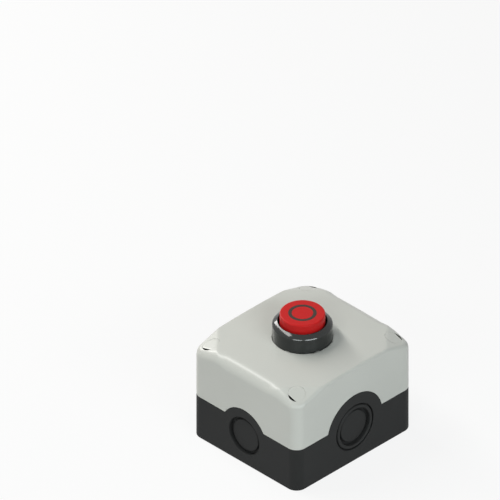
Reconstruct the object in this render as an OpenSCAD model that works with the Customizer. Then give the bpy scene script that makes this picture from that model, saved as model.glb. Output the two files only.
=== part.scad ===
// Surface-mounted control station with one red pushbutton.
// A black moulded base and a light grey cover hold a 22 mm operator with two contact blocks.
// Millimetres. The back lies on Z = 0, +Z is the button's axis, X is the width, Y is the height.

/* [Enclosure] */
// Width across the side walls
box_w = 72; // [71:0.5:80]
// Height across the end walls
box_h = 80; // [79:0.5:90]
// Depth from the back to the crown of the cover
box_d = 55.7; // [55:0.1:60]
// Radius of the four upright corners
corner_r = 5.65; // [5:0.05:6.5]
// Height of the base's rim above the back
base_d = 24.1; // [22:0.1:25.5]
// Wall thickness of the base
base_wall = 3; // [2.6:0.1:3.4]
// Floor thickness of the base
floor_t = 3; // [2.6:0.1:4]
// Wall thickness of the cover
cover_wall = 2.8; // [2.6:0.1:3]
// Radius of the cover's crown, seen from the side
crown_r = 470; // [400:10:700]
// Radius of the cover's crown, seen from the end
cross_r = 600; // [500:10:900]
// Rounding of the cover's side edges
side_edge_r = 1.5; // [1.2:0.1:2]
// Rounding of the cover's end edges
end_edge_r = 5.5; // [4.8:0.1:6]

/* [Corner facets and screws] */
// Tilt of each facet towards its corner
facet_tilt = 22.5; // [19:0.5:24]
// Depth of the facets below the crown, at the screw wells
facet_sink = 3.2; // [2.8:0.05:3.6]
// Distance of the wells from the side walls
well_inset_x = 6.7; // [6.2:0.1:8]
// Distance of the wells from the end walls
well_inset_y = 6.2; // [5.8:0.1:6.6]
// Radius of the screw wells
well_r = 3.6; // [3.5:0.05:3.8]
// Height of the screw seat above the base's rim
screw_seat_h = 6; // [4:0.5:9]
// Length of the cover screws under the head
cover_screw_l = 18; // [14:0.5:22]
// Thickness of the plugs that close the wells
plug_t = 4; // [3:0.25:6]

/* [Cable entries] */
// Height of the side entries above the back
side_entry_z = 19.8; // [19.4:0.1:21]
// Radius of the arched tab round a side entry
side_tab_r = 18.8; // [17:0.1:19]
// Radius of the larger knock-out of a side entry
large_knock_r = 12.7; // [12.2:0.1:13.2]
// Radius of the smaller knock-outs
small_knock_r = 10.2; // [9.6:0.1:10.6]
// Height of the end entries above the back
end_entry_z = 16.3; // [15.9:0.1:17]
// Radius of the arched tab round an end entry
end_tab_r = 15.2; // [14:0.1:15.6]
// Depth of the round recess of a knock-out
knock_depth = 1.8; // [1.4:0.1:2]

/* [Wall fixing] */
// Spacing of the fixing holes across the width
fixing_dx = 48; // [44:0.5:50]
// Spacing of the fixing holes along the height
fixing_dy = 52; // [48:0.5:52]
// Radius of the fixing holes
fixing_r = 2.4; // [2.1:0.1:2.7]

/* [Button] */
// Radius of the red cap
cap_r = 11.1; // [10.8:0.05:11.4]
// Height of the cap's face above the bezel's seat
cap_rise = 14.4; // [13.5:0.1:16]
// Travel of the button
press_travel = 5; // [4:0.25:5.25]
// Outer radius of the bezel
bezel_r = 14.75; // [14.5:0.05:15]
// Bore radius of the bezel
bezel_bore_r = 12; // [11.9:0.05:12.3]
// Height of the bezel above its seat
bezel_h = 8.9; // [8.4:0.1:9.4]
// Radius of the hole for the button
hole_r = 11.25; // [11.15:0.05:11.4]
// Outer radius of the ring symbol
symbol_r = 6.8; // [6:0.1:7.5]
// Width of the ring symbol's line
symbol_w = 1.55; // [1:0.05:2]

/* [Operator] */
// Outer radius of the threaded barrel
barrel_r = 11; // [10.9:0.02:11.04]
// Length of the barrel, from the bezel's seat to its lower end
barrel_l = 17.1; // [16.6:0.1:18]
// Radius of the stem where the barrel guides it
stem_r = 9.2; // [9:0.05:9.3]
// Height of the ring nut
nut_t = 5; // [4:0.1:5.5]
// Across-corner radius of the ring nut
nut_r = 15; // [14.6:0.1:15.4]

/* [Contact blocks] */
// Width of one contact block
block_w = 9.8; // [9.4:0.1:10.1]
// Spacing of the two blocks
block_pitch = 10.4; // [10.2:0.1:10.8]
// Length of a contact block
block_l = 40; // [39.5:0.5:44]
// Height of a contact block as a share of the box's depth
block_share = 0.5; // [0.49:0.005:0.53]
// Thickness of a block's side walls
block_wall = 1.4; // [1.2:0.05:1.5]
// Length of a terminal chamber at each end of a block
chamber_l = 6; // [5.8:0.1:6.4]

/* [Hidden] */
$fn = 96;
// Facets of the wide crown in the preview
crown_fn = 1440;
// How far a cut runs past what it cuts
cut = 1;
// Radial or side clearance of a piece that slides in its guide
slide_gap = 0.08;
// Clearance of a piece that is fixed in its seat
seat_gap = 0.05;

// Enclosure, derived
side_x = box_w / 2;
end_y = box_h / 2;
well_x = side_x - well_inset_x;
well_y = end_y - well_inset_y;
facet_z = box_d - facet_sink;
screw_seat_z = base_d + screw_seat_h;
well_wall = 1.4;
// Pillars of the base under the cover screws
pillar_r = 4.8;
// Screw shank, its clearance in the cover and its head
shank_r = 1.95;
shank_clear = 0.3;
cover_head_r = 3.3;
cover_head_t = 2.4;
drive_w = 1;
drive_depth = 1.2;
// Straight side of a well's plug, from the plug's axis
plug_flat = 2.3;

// Seal along the parting line: its inset in the wall, its width and its height
seal_inset = 0.8;
seal_w = 1.2;
seal_t = 0.9;
// Clearance between a tab and the arch in the cover
tab_gap = 0.1;

// Groove that outlines the larger knock-out
groove_w = 0.8;
groove_depth = 1;
// Low pad in a knock-out: how far its foot and its top lie inside the recess, and its height
pad_foot_in = 1.8;
pad_top_in = 3;
pad_h = 0.6;

// Back of the base: recess between its rim, its ribs and its screw rings
back_recess = 0.8;
back_rim = 4;
back_rib = 6;
fixing_ring_r = 5;
// Ring under the head of a wall screw, on the floor
fixing_boss_r = 4.2;
fixing_boss_h = 1;

// Front panel round the button: flat seat outside, flat boss inside
seat_sink = 0.6;
seat_z = box_d - seat_sink;
seat_margin = 0.4;
panel_t = 2.8;
panel_back_z = seat_z - panel_t;
boss_r = 16.4;
// Key notch of the hole, and the barrel's key
key_w = 3;
key_reach = 1.6;
key_gap = 0.12;

// Barrel and its seal
flat_seal_t = 0.8;
flange_r = 13.6;
flange_t = 1.1;
flange_z = seat_z + flat_seal_t;
flange_top_z = flange_z + flange_t;
barrel_end_z = seat_z - barrel_l;
barrel_bore_r = stem_r + slide_gap;
lip_t = 2;
lip_bore_r = 7.6;
stem_seal_r = 10.4;
stem_seal_t = 1.4;
// Ring nut: slots for its spanner, and its flange against the panel
nut_slots = 6;
nut_slot_w = 3.2;
nut_slot_depth = 1.4;
nut_flange_t = 1.4;
nut_body_r = nut_r - nut_slot_depth;

// Bezel, derived
bezel_top_z = seat_z + bezel_h;
bezel_shoulder_h = 6.65;
bezel_slope_in = 0.9;
bezel_slope_h = 1.2;
bezel_lip_in = 0.35;
bezel_lip_h = 0.4;
bezel_notch_w = 2.2;
bezel_notch_h = 0.7;
bezel_notch_angle = 45;
bezel_notches = 6;

// Cap and stem, derived
cap_top_z = seat_z + cap_rise;
cap_stop_gap = 0.4;
cap_bottom_z = flange_top_z + press_travel + cap_stop_gap;
cap_edge_r = 0.7;
cap_wall = 1.8;
symbol_t = 0.6;
stem_wall = 1.6;
core_gap = 0.3;
stem_core_r = lip_bore_r - core_gap;
stem_floor_t = 2;
stem_end_gap = 0.5;
stem_end_z = barrel_end_z + press_travel + stem_end_gap;
stem_top_z = cap_top_z - cap_wall - seat_gap;

// Return spring under the stem's shoulder
return_wire_r = 0.4;
return_turns = 4;
spring_spare = 1.5;
return_l = press_travel + 2 * return_wire_r * (return_turns + 1) + spring_spare;
return_z = barrel_end_z + lip_t;
shoulder_z = return_z + return_l;
return_coil_r = (barrel_bore_r + stem_core_r) / 2;
// Rings in one turn of a coil and sides of its wire
coil_rings = 14;
coil_sides = 6;

// Adapter that carries the blocks
adapter_t = 3;
adapter_margin = 1.2;
adapter_w = block_pitch + block_w + 2 * adapter_margin;
collar_h = 8;
collar_wall = 2.4;
collar_r = barrel_r + seat_gap + collar_wall;
leg_t = 1.4;
leg_w = 14;
leg_drop = 7;
leg_gap = 0.2;
hook_reach = 0.8;
hook_h = 1.6;
hook_gap = 0.1;
lock_boss_w = 6;
lock_boss_out = 2;
lock_screw_r = 1.5;
lock_head_r = 2.5;
lock_head_t = 1.8;

// Contact block: heights from the front end down
block_h = block_share * box_d;
block_top_z = barrel_end_z;
block_end_z = block_top_z - block_h;
lid_t = 3.6;
lid_z = block_top_z - lid_t;
spigot_h = 0.9;
block_floor_t = 1.5;
cavity_w = block_w - 2 * block_wall;
cavity_z = block_end_z + block_floor_t;
// Along the block: end wall, terminal chamber, partition, middle cavity
end_wall_t = 1;
partition_t = 1.4;
terminal_y = block_l / 2 - end_wall_t - chamber_l / 2;
cavity_y = block_l / 2 - end_wall_t - chamber_l - partition_t;

// Bridge and strips, worked out from the end of the cavity towards the tips
bridge_w = 4;
bridge_t = 0.8;
bridge_over = 1.6;
bridge_gap = 1.55;
strip_w = 4;
strip_t = 1;
strip_end = 2;
tip_r = 1.5;
tip_t = 0.5;
tip_y = cavity_y - seat_gap - strip_t - bridge_gap - bridge_over;
bridge_l = 2 * (tip_y + bridge_over);

// Carrier with its window and springs
carrier_wire_r = 0.25;
carrier_turns = 5;
carrier_spare = 0.5;
carrier_spring_l = press_travel + 2 * carrier_wire_r * (carrier_turns + 1) + carrier_spare;
carrier_coil_r = 2;
cage_z = cavity_z + carrier_spring_l;
cage_w = cavity_w - 2 * slide_gap;
cage_share = 0.8;
cage_l = cage_share * tip_y;
cage_bar = 1.5;
window_h = 5;
window_w = 4.2;
cage_h = window_h + 2 * cage_bar;
shank_w = 4;
shank_l = 3;
window_z = cage_z + cage_bar;
peg_r = 0.9;
peg_h = 1.2;
contact_coil_r = 1.5;
contact_turns = 4;
spring_peg_r = 1.3;
spring_peg_h = 1.5;

// Heights and outer ends of the fixed contacts
terminal_h = 11;
terminal_z = block_end_z + terminal_h;
strip_out = block_l / 2 - end_wall_t - 2 * seat_gap;
nc_strip_z = window_z + window_h + 2 * tip_t;
no_strip_z = window_z - press_travel - 2 * tip_t - strip_t;

// Terminal screws and the plates under their heads
term_screw_r = 1.7;
term_screw_l = 6;
term_head_r = 2.8;
term_head_t = 2.2;
term_bore_spare = 0.8;
plate_t = 1;
plate_w = 6;
plate_l = 5;
wire_mouth_w = 5;
wire_mouth_h = 7;

// Colours of the mouldings and metals
light_grey = [0.79, 0.79, 0.77];
black = [0.2, 0.2, 0.2];
signal_red = [0.8, 0.15, 0.14];
ring_grey = [0.27, 0.25, 0.23];
zinc = [0.72, 0.73, 0.75];
copper = [0.82, 0.55, 0.35];
steel = [0.6, 0.62, 0.65];
case_grey = [0.55, 0.57, 0.58];
signal_green = [0.2, 0.55, 0.3];
seal_grey = [0.12, 0.12, 0.13];

// A round bar along X or along Y, centred on the origin
module rod_x(r, l) rotate([0, 90, 0]) cylinder(r = r, h = l, center = true);
module rod_y(r, l) rotate([90, 0, 0]) cylinder(r = r, h = l, center = true);

// A block centred in X and Y that stands on Z = 0
module block(w, l, h) translate([-w / 2, -l / 2, 0]) cube([w, l, h]);

// An upright prism with rounded corners that stands on Z = 0
module rounded_prism(w, l, r, h) {
    block(w - 2 * r, l, h);
    block(w, l - 2 * r, h);
    for (x = [-1, 1], y = [-1, 1])
        translate([x * (w / 2 - r), y * (l / 2 - r), 0]) cylinder(r = r, h = h);
}

// One copy of the children at each cover screw, turned so that +X points at the corner
module at_wells() {
    for (x = [-1, 1], y = [-1, 1])
        translate([x * well_x, y * well_y, 0]) rotate([0, 0, atan2(y, x)]) children();
}

// One upright copy of the children at each wall fixing hole
module at_fixings() {
    for (x = [-1, 1], y = [-1, 1])
        translate([x * fixing_dx / 2, y * fixing_dy / 2, 0]) children();
}

// What the rounding of an edge takes off: the corner outside a circle, with one side sloped
module edge_waste(r, slope) difference() {
    polygon([[0, 0], [2 * r * cos(slope), 2 * r * sin(slope)], [2 * r, 2 * r], [0, 2 * r]]);
    circle(r = r);
}

// Section of the crown across the width: a shallow arc. Its outer corners are rounded,
// and inside the wall they are sharp.
module crown_section(inset) {
    w = box_w - 2 * inset;
    arc = cross_r - inset;
    r = side_edge_r;
    y = w / 2 - r;
    x = crown_r - cross_r + sqrt(pow(arc - r, 2) - y * y);
    difference() {
        intersection() {
            translate([crown_r - cross_r, 0]) circle(r = arc, $fn = crown_fn);
            translate([crown_r - box_d, -w / 2]) square([box_d, w]);
        }
        if (inset == 0) for (turn = [0, 1]) mirror([0, turn])
            translate([x, y]) edge_waste(r, asin(y / (arc - r)));
    }
}

// Crown with its rounded side edges: the section swept about the far crown axis
module crown(inset) {
    translate([0, 0, box_d - crown_r]) rotate([0, 90, 0])
        rotate_extrude($fn = crown_fn) crown_section(inset);
}

// What the rounding takes off at one end edge, swept along the arc of the crown
module end_edge(inset) {
    r = end_edge_r - inset;
    y = end_y - inset - r;
    z = sqrt(pow(crown_r - inset - r, 2) - y * y) - crown_r;
    translate([0, 0, box_d - cross_r]) rotate([-90, 0, 0]) rotate_extrude($fn = crown_fn)
        translate([z + cross_r, y]) edge_waste(r, asin(y / (crown_r - inset - r)));
}

// Half space above one corner facet
module above_facet(inset) {
    span = box_w + box_h;
    translate([0, 0, facet_z]) rotate([0, facet_tilt, 0])
        translate([-span / 2, -span / 2, -inset]) cube(span);
}

// Outer form of the cover, or its inner form when it is inset by the wall
module dome(inset) {
    difference() {
        intersection() {
            rounded_prism(box_w - 2 * inset, box_h - 2 * inset, corner_r - inset, box_d);
            crown(inset);
        }
        for (turn = [0, 180]) rotate([0, 0, turn]) end_edge(inset);
        at_wells() above_facet(inset);
    }
}

// Round tabs of the base that close the arches of the cover, grown by a clearance
module tabs(grow) {
    for (s = [-1, 1]) {
        translate([s * side_x, 0, side_entry_z]) rod_x(side_tab_r + grow, 2 * base_wall);
        translate([0, s * end_y, end_entry_z]) rod_y(end_tab_r + grow, 2 * base_wall);
    }
}

// Recess of a knock-out in a wall that faces +Z, round a low pad with a sloped edge
module knock_out() difference() {
    translate([0, 0, -knock_depth]) cylinder(r = small_knock_r, h = knock_depth + cut);
    translate([0, 0, -knock_depth])
        cylinder(r1 = small_knock_r - pad_foot_in, r2 = small_knock_r - pad_top_in, h = pad_h);
}

// Groove that outlines the larger knock-out
module knock_out_groove() difference() {
    translate([0, 0, -groove_depth]) cylinder(r = large_knock_r, h = groove_depth + cut);
    translate([0, 0, -groove_depth - cut])
        cylinder(r = large_knock_r - groove_w, h = groove_depth + 3 * cut);
}

// Back box: floor, four walls, pillars, tabs, knock-outs and fixing holes
module base() color(black) difference() {
    union() {
        rounded_prism(box_w, box_h, corner_r, base_d);
        intersection() {
            tabs(0);
            union() {
                for (s = [-1, 1]) {
                    translate([s * (side_x - base_wall / 2), 0, 0]) block(base_wall, box_h, box_d);
                    translate([0, s * (end_y - base_wall / 2), 0]) block(box_w, base_wall, box_d);
                }
            }
        }
    }
    difference() {
        translate([0, 0, floor_t])
            rounded_prism(box_w - 2 * base_wall, box_h - 2 * base_wall, corner_r - base_wall, base_d);
        at_wells() cylinder(r = pillar_r, h = base_d);
        at_fixings() cylinder(r = fixing_boss_r, h = floor_t + fixing_boss_h);
    }
    difference() {
        translate([0, 0, -cut]) rounded_prism(box_w - 2 * back_rim, box_h - 2 * back_rim,
            corner_r - base_wall, back_recess + cut);
        translate([0, 0, -2 * cut]) block(back_rib, box_h, 4 * cut);
        translate([0, 0, -2 * cut]) block(box_w, back_rib, 4 * cut);
        at_fixings() translate([0, 0, -2 * cut]) cylinder(r = fixing_ring_r, h = 4 * cut);
    }
    at_fixings() translate([0, 0, -cut]) cylinder(r = fixing_r, h = base_d);
    at_wells() translate([0, 0, screw_seat_z - cover_screw_l - cut])
        cylinder(r = shank_r + seat_gap, h = base_d);
    for (s = [-1, 1]) {
        translate([s * side_x, 0, side_entry_z]) rotate([0, s * 90, 0]) {
            knock_out();
            knock_out_groove();
        }
        translate([0, s * end_y, end_entry_z]) rotate([-s * 90, 0, 0]) knock_out();
    }
}

// Seal that lies on the base's rim and climbs over its tabs, grown by a clearance
module parting_seal(grow) {
    outer = seal_inset - grow;
    inner = seal_inset + seal_w + grow;
    top = seal_t + grow;
    difference() {
        intersection() {
            difference() {
                rounded_prism(box_w - 2 * outer, box_h - 2 * outer, corner_r - outer, box_d);
                translate([0, 0, -cut]) rounded_prism(box_w - 2 * inner, box_h - 2 * inner,
                    corner_r - inner, box_d + 2 * cut);
            }
            union() {
                block(box_w, box_h, base_d + top);
                tabs(top);
            }
        }
        translate([0, 0, -cut]) block(box_w, box_h, base_d + cut);
        tabs(0);
    }
}

module cover_gasket() color(seal_grey) parting_seal(0);

// Front shell: crowned top, arches over the tabs, screw tubes and the hole for the button
module cover() color(light_grey) difference() {
    dome(0);
    translate([0, 0, -cut]) block(2 * box_w, 2 * box_h, base_d + cut);
    difference() {
        dome(cover_wall);
        at_wells() cylinder(r = well_r + well_wall, h = box_d);
        translate([0, 0, panel_back_z]) cylinder(r = boss_r, h = box_d);
    }
    tabs(tab_gap);
    parting_seal(seat_gap);
    at_wells() {
        translate([0, 0, screw_seat_z]) cylinder(r = well_r, h = box_d);
        cylinder(r = shank_r + shank_clear, h = box_d);
    }
    translate([0, 0, seat_z]) cylinder(r = bezel_r + seat_margin, h = box_d);
    cylinder(r = hole_r, h = 2 * box_d);
    key(key_w + 2 * key_gap, hole_r + key_reach, seat_z - panel_t - cut, box_d);
}

module cover_screws() color(zinc) at_wells() translate([0, 0, screw_seat_z]) {
    translate([0, 0, -cover_screw_l]) cylinder(r = shank_r, h = cover_screw_l);
    difference() {
        cylinder(r = cover_head_r, h = cover_head_t);
        for (turn = [0, 90]) rotate([0, 0, turn])
            translate([0, 0, cover_head_t - drive_depth])
                block(2 * cover_head_r - 2 * drive_w, drive_w, box_d);
    }
}

// Plugs of the wells, flush with the facets, each with a straight outer side
module screw_caps() color(light_grey) intersection() {
    dome(0);
    for (x = [-1, 1], y = [-1, 1]) translate([x * well_x, y * well_y, facet_z - plug_t])
        intersection() {
            cylinder(r = well_r - seat_gap, h = box_d);
            translate([0, y * (plug_flat - box_h / 2), 0]) block(box_w, box_h, box_d);
        }
}

// Front ring of the operator, over the barrel's flange
module bezel() color(black) difference() {
    rotate_extrude() polygon([
        [flange_r + seat_gap, seat_z],
        [bezel_r, seat_z],
        [bezel_r, seat_z + bezel_shoulder_h],
        [bezel_r - bezel_slope_in, seat_z + bezel_shoulder_h + bezel_slope_h],
        [bezel_bore_r + bezel_lip_in, bezel_top_z],
        [bezel_bore_r, bezel_top_z - bezel_lip_h],
        [bezel_bore_r, flange_top_z + seat_gap],
        [flange_r + seat_gap, flange_top_z + seat_gap]]);
    for (i = [0:bezel_notches - 1]) rotate([0, 0, bezel_notch_angle + 360 * i / bezel_notches])
        translate([bezel_r, 0, seat_z - cut]) block(2 * (bezel_r - flange_r), bezel_notch_w,
            bezel_notch_h + cut);
}

// Key of the barrel, or its notch, on the side of the upper end wall
module key(w, reach, z, h) translate([0, reach / 2, z]) block(w, reach, h);

module panel_gasket() color(seal_grey) difference() {
    translate([0, 0, seat_z]) cylinder(r = flange_r, h = flat_seal_t);
    translate([0, 0, seat_z - cut]) cylinder(r = barrel_r + seat_gap, h = flat_seal_t + 2 * cut);
    key(key_w + 2 * key_gap, hole_r + key_reach, seat_z - cut, flat_seal_t + 2 * cut);
}

// Sleeve through the hole: flange, key, bore for the stem and the lip under the spring
module barrel() color(black) difference() {
    union() {
        translate([0, 0, barrel_end_z]) cylinder(r = barrel_r, h = flange_top_z - barrel_end_z);
        translate([0, 0, flange_z]) cylinder(r = flange_r, h = flange_t);
        key(key_w, barrel_r + key_reach, panel_back_z + key_gap, flange_z - panel_back_z);
    }
    translate([0, 0, return_z]) cylinder(r = barrel_bore_r, h = box_d);
    translate([0, 0, barrel_end_z - cut]) cylinder(r = lip_bore_r, h = box_d);
    translate([0, 0, flange_top_z - stem_seal_t]) cylinder(r = stem_seal_r, h = box_d);
}

module stem_seal() color(seal_grey) translate([0, 0, flange_top_z - stem_seal_t]) difference() {
    cylinder(r = stem_seal_r - seat_gap, h = stem_seal_t);
    translate([0, 0, -cut]) cylinder(r = stem_r + seat_gap, h = stem_seal_t + 2 * cut);
}

// Nut with a flange against the panel and slots for a ring spanner
module ring_nut() color(case_grey) translate([0, 0, panel_back_z - nut_t]) difference() {
    union() {
        cylinder(r = nut_body_r, h = nut_t);
        translate([0, 0, nut_t - nut_flange_t]) cylinder(r = nut_r, h = nut_flange_t);
    }
    translate([0, 0, -cut]) cylinder(r = barrel_r + seat_gap, h = nut_t + 2 * cut);
    for (i = [0:nut_slots - 1]) rotate([0, 0, 360 * i / nut_slots])
        translate([nut_r, 0, -cut])
            block(2 * (nut_r - nut_body_r + nut_slot_depth), nut_slot_w, nut_t - nut_flange_t + cut);
}

// Red cap, hollow below, with a groove for the ring symbol
module button_cap() color(signal_red) difference() {
    rotate_extrude() {
        translate([0, cap_bottom_z]) square([cap_r, cap_top_z - cap_bottom_z - cap_edge_r]);
        translate([0, cap_bottom_z]) square([cap_r - cap_edge_r, cap_top_z - cap_bottom_z]);
        translate([cap_r - cap_edge_r, cap_top_z - cap_edge_r]) circle(r = cap_edge_r);
    }
    translate([0, 0, cap_bottom_z - cut])
        cylinder(r = stem_r + seat_gap, h = cap_top_z - cap_wall - cap_bottom_z + cut);
    symbol_ring(box_d);
}

module symbol_ring(h) translate([0, 0, cap_top_z - symbol_t]) difference() {
    cylinder(r = symbol_r, h = h);
    translate([0, 0, -cut]) cylinder(r = symbol_r - symbol_w, h = h + 2 * cut);
}

module off_symbol() color(ring_grey) symbol_ring(symbol_t);

// Hollow stem: wide guide above its shoulder, narrow core below it
module button_stem() color(light_grey) rotate_extrude() polygon([
    [0, stem_end_z],
    [stem_core_r, stem_end_z],
    [stem_core_r, shoulder_z],
    [stem_r, shoulder_z],
    [stem_r, stem_top_z],
    [stem_r - stem_wall, stem_top_z],
    [stem_r - stem_wall, shoulder_z + stem_wall],
    [stem_core_r - stem_wall, shoulder_z + stem_wall],
    [stem_core_r - stem_wall, stem_end_z + stem_floor_t],
    [0, stem_end_z + stem_floor_t]]);

// One ring of points round the wire of a coil
function coil_ring(coil_r, wire_r, turn, z) = [
    for (s = [0:coil_sides - 1])
        let (a = 360 * s / coil_sides, reach = coil_r + wire_r * cos(a))
            [reach * cos(turn), reach * sin(turn), z + wire_r * sin(a)]];

// Two triangles between two rings of a coil
function coil_quad(i, s) =
    let (a = i * coil_sides + s, b = i * coil_sides + (s + 1) % coil_sides)
        [[a, b, b + coil_sides], [a, b + coil_sides, a + coil_sides]];

// A helical spring that stands on Z = 0
module coil(coil_r, wire_r, length, turns) {
    steps = turns * coil_rings;
    rise = (length - 2 * wire_r) / steps;
    points = [for (i = [0:steps])
        each coil_ring(coil_r, wire_r, 360 * i / coil_rings, wire_r + rise * i)];
    sides = [for (i = [0:steps - 1], s = [0:coil_sides - 1]) each coil_quad(i, s)];
    first = [for (s = [coil_sides - 1:-1:0]) s];
    last = [for (s = [0:coil_sides - 1]) steps * coil_sides + s];
    polyhedron(points, concat(sides, [first, last]));
}

module return_spring() color(steel) translate([0, 0, return_z])
    coil(return_coil_r, return_wire_r, return_l, return_turns);

// Carrier behind the nut: collar on the barrel, plate over the blocks, two hooked legs
module adapter() color(case_grey) difference() {
    union() {
        translate([0, 0, barrel_end_z]) cylinder(r = collar_r, h = collar_h);
        translate([0, 0, barrel_end_z])
            block(adapter_w, block_l + 2 * (leg_t + leg_gap), adapter_t);
        translate([collar_r, 0, barrel_end_z]) block(2 * lock_boss_out, lock_boss_w, collar_h);
        for (turn = [0, 180]) rotate([0, 0, turn]) adapter_leg();
    }
    translate([0, 0, barrel_end_z - cut]) cylinder(r = barrel_r + seat_gap, h = box_d);
    translate([collar_r, 0, barrel_end_z + collar_h / 2 + adapter_t / 2])
        rod_x(lock_screw_r + seat_gap, 2 * collar_r);
}

module adapter_leg() {
    y = block_l / 2 + leg_gap;
    translate([0, y + leg_t / 2, barrel_end_z - leg_drop]) block(leg_w, leg_t, leg_drop);
    translate([0, y + (leg_t - hook_reach) / 2, barrel_end_z - leg_drop])
        block(leg_w, leg_t + hook_reach, hook_h);
}

module adapter_screw() color(steel)
    translate([barrel_r + seat_gap, 0, barrel_end_z + collar_h / 2 + adapter_t / 2])
        rotate([0, 90, 0]) {
            l = collar_r + lock_boss_out - barrel_r - seat_gap;
            cylinder(r = lock_screw_r, h = l);
            difference() {
                translate([0, 0, l]) cylinder(r = lock_head_r, h = lock_head_t);
                translate([0, 0, l + lock_head_t / 2]) block(3 * lock_head_r, drive_w, lock_head_t);
            }
        }

// Case of a contact block: middle cavity, two terminal chambers and their wire mouths
module contact_housing() {
    difference() {
        translate([0, 0, block_end_z]) block(block_w, block_l, lid_z - block_end_z);
        translate([0, 0, cavity_z]) block(cavity_w, 2 * cavity_y, block_h);
        for (turn = [0, 180]) rotate([0, 0, turn]) terminal_space();
    }
    translate([0, 0, cavity_z]) cylinder(r = spring_peg_r, h = spring_peg_h);
}

module terminal_space() {
    hook_z = barrel_end_z - leg_drop - hook_gap;
    translate([0, terminal_y, block_end_z - cut])
        block(cavity_w, chamber_l, terminal_h + strip_t + cut);
    translate([0, cavity_y + partition_t / 2, terminal_z])
        block(strip_w + 2 * seat_gap, 2 * partition_t, strip_t);
    translate([0, terminal_y, terminal_z])
        cylinder(r = term_screw_r + shank_clear, h = term_screw_l + term_bore_spare);
    translate([0, block_l / 2, terminal_z - wire_mouth_h])
        block(wire_mouth_w, 4 * end_wall_t, wire_mouth_h);
    translate([0, block_l / 2, hook_z])
        block(2 * block_w, 2 * (hook_reach - leg_gap + hook_gap), hook_h + 2 * hook_gap);
}

// Lid of a contact block, with the slot that guides the plunger
module contact_lid() difference() {
    union() {
        translate([0, 0, lid_z]) block(block_w, block_l, lid_t);
        translate([0, 0, lid_z - spigot_h])
            block(cavity_w - 2 * seat_gap, 2 * (cavity_y - seat_gap), spigot_h);
    }
    translate([0, 0, lid_z - spigot_h - cut])
        block(shank_w + 2 * slide_gap, shank_l + 2 * slide_gap, block_h);
}

// Plunger with the window for the bridge. The peg centres the contact spring
module contact_plunger(peg_up) {
    difference() {
        union() {
            translate([0, 0, cage_z]) block(cage_w, cage_l, cage_h);
            translate([0, 0, cage_z]) block(shank_w, shank_l, stem_end_z - cage_z);
        }
        translate([0, 0, window_z]) block(window_w, 2 * cage_l, window_h);
    }
    translate([0, 0, peg_up ? window_z : window_z + window_h - peg_h])
        cylinder(r = peg_r, h = peg_h);
}

// Contact bridge with a rivet at each end. The rivets are above or below the bar
module contact_bridge(z, rivet_z) {
    translate([0, 0, z]) block(bridge_w, bridge_l, bridge_t);
    for (y = [-tip_y, tip_y]) translate([0, y, rivet_z]) cylinder(r = tip_r, h = tip_t);
}

// Two bent strips, each from its rivet to its terminal
module fixed_contacts(strip_z, rivet_z) for (turn = [0, 180]) rotate([0, 0, turn]) {
    inner_y = tip_y - strip_end;
    riser_y = cavity_y - seat_gap - strip_t;
    low_z = min(strip_z, terminal_z);
    rise = abs(strip_z - terminal_z) + strip_t;
    difference() {
        union() {
            translate([0, (inner_y + cavity_y - seat_gap) / 2, strip_z])
                block(strip_w, cavity_y - seat_gap - inner_y, strip_t);
            translate([0, riser_y + strip_t / 2, low_z]) block(strip_w, strip_t, rise);
            translate([0, (riser_y + strip_out) / 2, terminal_z])
                block(strip_w, strip_out - riser_y, strip_t);
        }
        translate([0, terminal_y, terminal_z - cut])
            cylinder(r = term_screw_r + seat_gap, h = strip_t + 2 * cut);
    }
    translate([0, tip_y, rivet_z]) cylinder(r = tip_r, h = tip_t);
}

module carrier_spring() translate([0, 0, cavity_z])
    coil(carrier_coil_r, carrier_wire_r, carrier_spring_l, carrier_turns);

// Break contact: the bridge hangs at the window's top and leaves its strips when pressed
module at_nc() translate([-block_pitch / 2, 0, 0]) children();
module nc_housing() color(case_grey) at_nc() contact_housing();
module nc_lid() color(case_grey) at_nc() contact_lid();
module nc_plunger() color(signal_red) at_nc() contact_plunger(true);
module nc_bridge() color(copper) at_nc()
    contact_bridge(window_z + window_h - bridge_t, window_z + window_h);
module nc_contact_spring() color(steel) at_nc() translate([0, 0, window_z])
    coil(contact_coil_r, carrier_wire_r, window_h - bridge_t, contact_turns);
module nc_return_spring() color(steel) at_nc() carrier_spring();
module nc_fixed_contacts() color(copper) at_nc() fixed_contacts(nc_strip_z, nc_strip_z - tip_t);

// Make contact: the bridge lies at the window's foot and meets its strips at full travel
module at_no() translate([block_pitch / 2, 0, 0]) children();
module no_housing() color(case_grey) at_no() contact_housing();
module no_lid() color(case_grey) at_no() contact_lid();
module no_plunger() color(signal_green) at_no() contact_plunger(false);
module no_bridge() color(copper) at_no() contact_bridge(window_z, window_z - tip_t);
module no_contact_spring() color(steel) at_no() translate([0, 0, window_z + bridge_t])
    coil(contact_coil_r, carrier_wire_r, window_h - bridge_t, contact_turns);
module no_return_spring() color(steel) at_no() carrier_spring();
module no_fixed_contacts() color(copper) at_no() fixed_contacts(no_strip_z, no_strip_z + strip_t);

// One copy of the children at each of the four terminals
module at_terminals() {
    for (x = [-1, 1], y = [-1, 1])
        translate([x * block_pitch / 2, y * terminal_y, terminal_z]) children();
}

module terminal_screws() color(zinc) at_terminals() {
    translate([0, 0, -plate_t]) cylinder(r = term_screw_r, h = term_screw_l + plate_t);
    difference() {
        translate([0, 0, -plate_t - term_head_t]) cylinder(r = term_head_r, h = term_head_t);
        translate([0, 0, -plate_t - term_head_t - cut])
            block(3 * term_head_r, drive_w, drive_depth + cut);
    }
}

module clamp_plates() color(zinc) at_terminals() difference() {
    translate([0, 0, -plate_t]) block(plate_w, plate_l, plate_t);
    translate([0, 0, -plate_t - cut]) cylinder(r = term_screw_r + seat_gap, h = plate_t + 2 * cut);
}

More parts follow.
